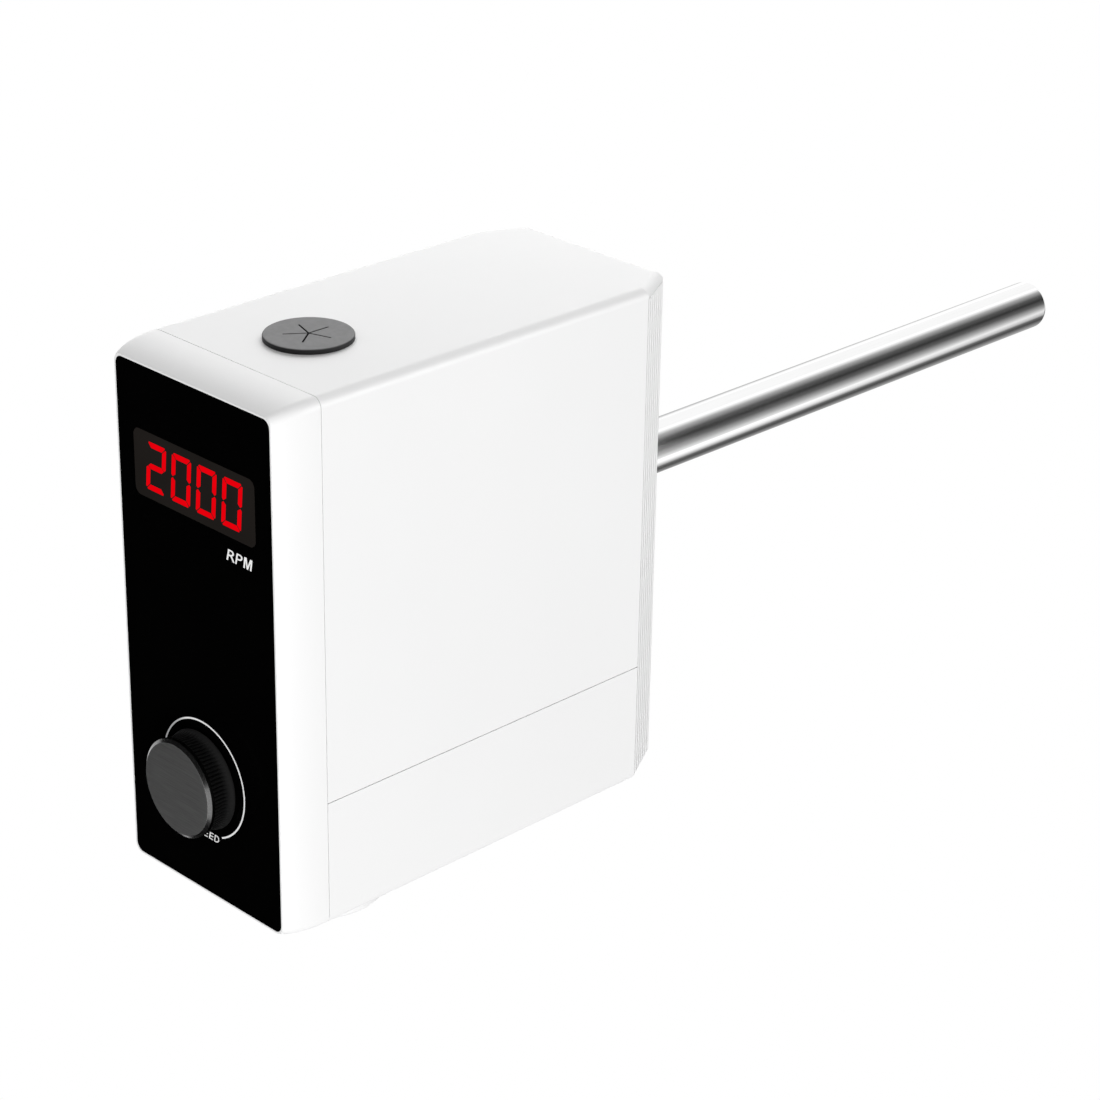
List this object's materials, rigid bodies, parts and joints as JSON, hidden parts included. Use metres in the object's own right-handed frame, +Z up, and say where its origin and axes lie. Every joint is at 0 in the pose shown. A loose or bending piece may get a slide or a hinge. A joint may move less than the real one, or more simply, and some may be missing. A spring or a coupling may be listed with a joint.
{
  "type": "overhead stirrer",
  "caption": "Overhead laboratory stirrer: pale moulded case with a black front panel, digital speed display, push knob, hollow spindle with keyless chuck, and a steel support rod.",
  "frame": {"origin": "on the support rod's axis, at the housing's rear face, where the rod's shoulder seats", "axes": "+Y backwards along the support rod, +Z up along the spindle towards the top cap, +X to the right as seen from the front"},
  "size_m": [0.083, 0.4408, 0.2077],
  "materials": {
    "white_shell": "satin",
    "black_panel": "gloss",
    "smoked_window": "gloss",
    "knob_rubber": "matt",
    "knob_face": "brushed, anodised dark",
    "cap_rubber": "matt",
    "polished_steel": "polished",
    "machined_steel": "machined",
    "bearing_steel": "ground",
    "cast_aluminium": "as cast",
    "turned_aluminium": "turned",
    "black_steel": "blackened",
    "belt_rubber": "matt",
    "motor_paint": "satin",
    "laminations": "stacked",
    "copper": "enamelled wire",
    "magnet": "ground",
    "circuit_board": "satin",
    "dark_plastic": "matt",
    "zinc_screw": "plated",
    "black_plastic_gloss": "satin"
  },
  "bodies": {
    "housing": {"front_bezel": "white_shell", "front_panel": "black_panel", "display_window": "smoked_window", "led_display": "dark_plastic", "display_board": "circuit_board", "board_screws": "zinc_screw", "upper_housing": "white_shell", "lower_housing": "white_shell", "rear_cover": "white_shell", "top_cap": "cap_rubber", "chassis": "cast_aluminium", "base_screws": "black_steel", "cover_screws": "zinc_screw", "support_rod": "polished_steel", "rod_lock_screw": "black_steel", "bearing_circlip": "black_steel", "drive_belt": "belt_rubber", "motor_case": "motor_paint", "motor_end_cap": "cast_aluminium", "motor_stator": "laminations", "motor_windings": "copper", "motor_bearings": "bearing_steel", "motor_screws": "black_steel", "speed_sensor": "dark_plastic", "encoder_body": "dark_plastic", "encoder_nut": "zinc_screw", "control_board": "circuit_board", "board_spacers": "zinc_screw", "capacitors": "dark_plastic", "power_switch": "black_plastic_gloss", "dc_jack": "black_plastic_gloss", "jack_nut": "zinc_screw", "upper_bearing_outer": "bearing_steel", "upper_bearing_balls": "bearing_steel", "lower_bearing_outer": "bearing_steel", "lower_bearing_balls": "bearing_steel"},
    "spindle": {"spindle": "machined_steel", "upper_bearing_inner": "bearing_steel", "lower_bearing_inner": "bearing_steel", "spindle_circlip": "black_steel", "spindle_pulley": "turned_aluminium", "speed_disc": "black_steel", "chuck_body": "machined_steel"},
    "motor_shaft": {"motor_shaft": "machined_steel", "motor_rotor": "magnet", "motor_pulley": "turned_aluminium"},
    "chuck_ring": {"chuck_ring": "white_shell", "chuck_nut": "machined_steel"},
    "jaw_1": {"jaw_1": "machined_steel"},
    "jaw_2": {"jaw_2": "machined_steel"},
    "jaw_3": {"jaw_3": "machined_steel"},
    "knob": {"speed_knob": "knob_rubber", "knob_cap": "knob_face", "encoder_shaft": "machined_steel"},
    "encoder_plunger": {"encoder_plunger": "dark_plastic"},
    "power_rocker": {"power_rocker": "black_plastic_gloss"}
  },
  "joints": [
    {"name": "spindle_spin", "type": "hinge", "parent": "housing", "child": "spindle", "pos_m": [0, -0.1295, 0], "axis": [0, 0, 1], "continuous": true},
    {"name": "motor_spin", "type": "hinge", "parent": "housing", "child": "motor_shaft", "pos_m": [0, -0.0855, 0], "axis": [0, 0, 1], "continuous": true},
    {"name": "chuck_ring_turn", "type": "hinge", "parent": "spindle", "child": "chuck_ring", "pos_m": [0, -0.1295, -0.10925], "axis": [0, 0, 1], "range_deg": [-480, 1120]},
    {"name": "jaw_1_slide", "type": "slide", "parent": "spindle", "child": "jaw_1", "axis": [0, -0.309, -0.9511], "range_m": [-0.00401, 0.00935]},
    {"name": "jaw_2_slide", "type": "slide", "parent": "spindle", "child": "jaw_2", "axis": [0.2676, 0.1545, -0.9511], "range_m": [-0.00401, 0.00935]},
    {"name": "jaw_3_slide", "type": "slide", "parent": "spindle", "child": "jaw_3", "axis": [-0.2676, 0.1545, -0.9511], "range_m": [-0.00401, 0.00935]},
    {"name": "knob_push", "type": "slide", "parent": "housing", "child": "encoder_plunger", "axis": [0, 1, 0], "range_m": [0, 0.0005], "stiffness_N_per_m": 900, "springref_m": -0.002},
    {"name": "knob_turn", "type": "hinge", "parent": "encoder_plunger", "child": "knob", "pos_m": [0, -0.1775, -0.0577], "axis": [0, 1, 0], "continuous": true},
    {"name": "rocker_tilt", "type": "hinge", "parent": "housing", "child": "power_rocker", "pos_m": [0.014, -0.0015, -0.085], "axis": [1, 0, 0], "range_deg": [-12, 0]}
  ],
  "couplings": [
    {"joint": "motor_spin", "follows": "spindle_spin", "ratio": 2},
    {"joint": "jaw_1_slide", "follows": "chuck_ring_turn", "m_per_rad": 0.00047746},
    {"joint": "jaw_2_slide", "follows": "chuck_ring_turn", "m_per_rad": 0.00047746},
    {"joint": "jaw_3_slide", "follows": "chuck_ring_turn", "m_per_rad": 0.00047746}
  ]
}
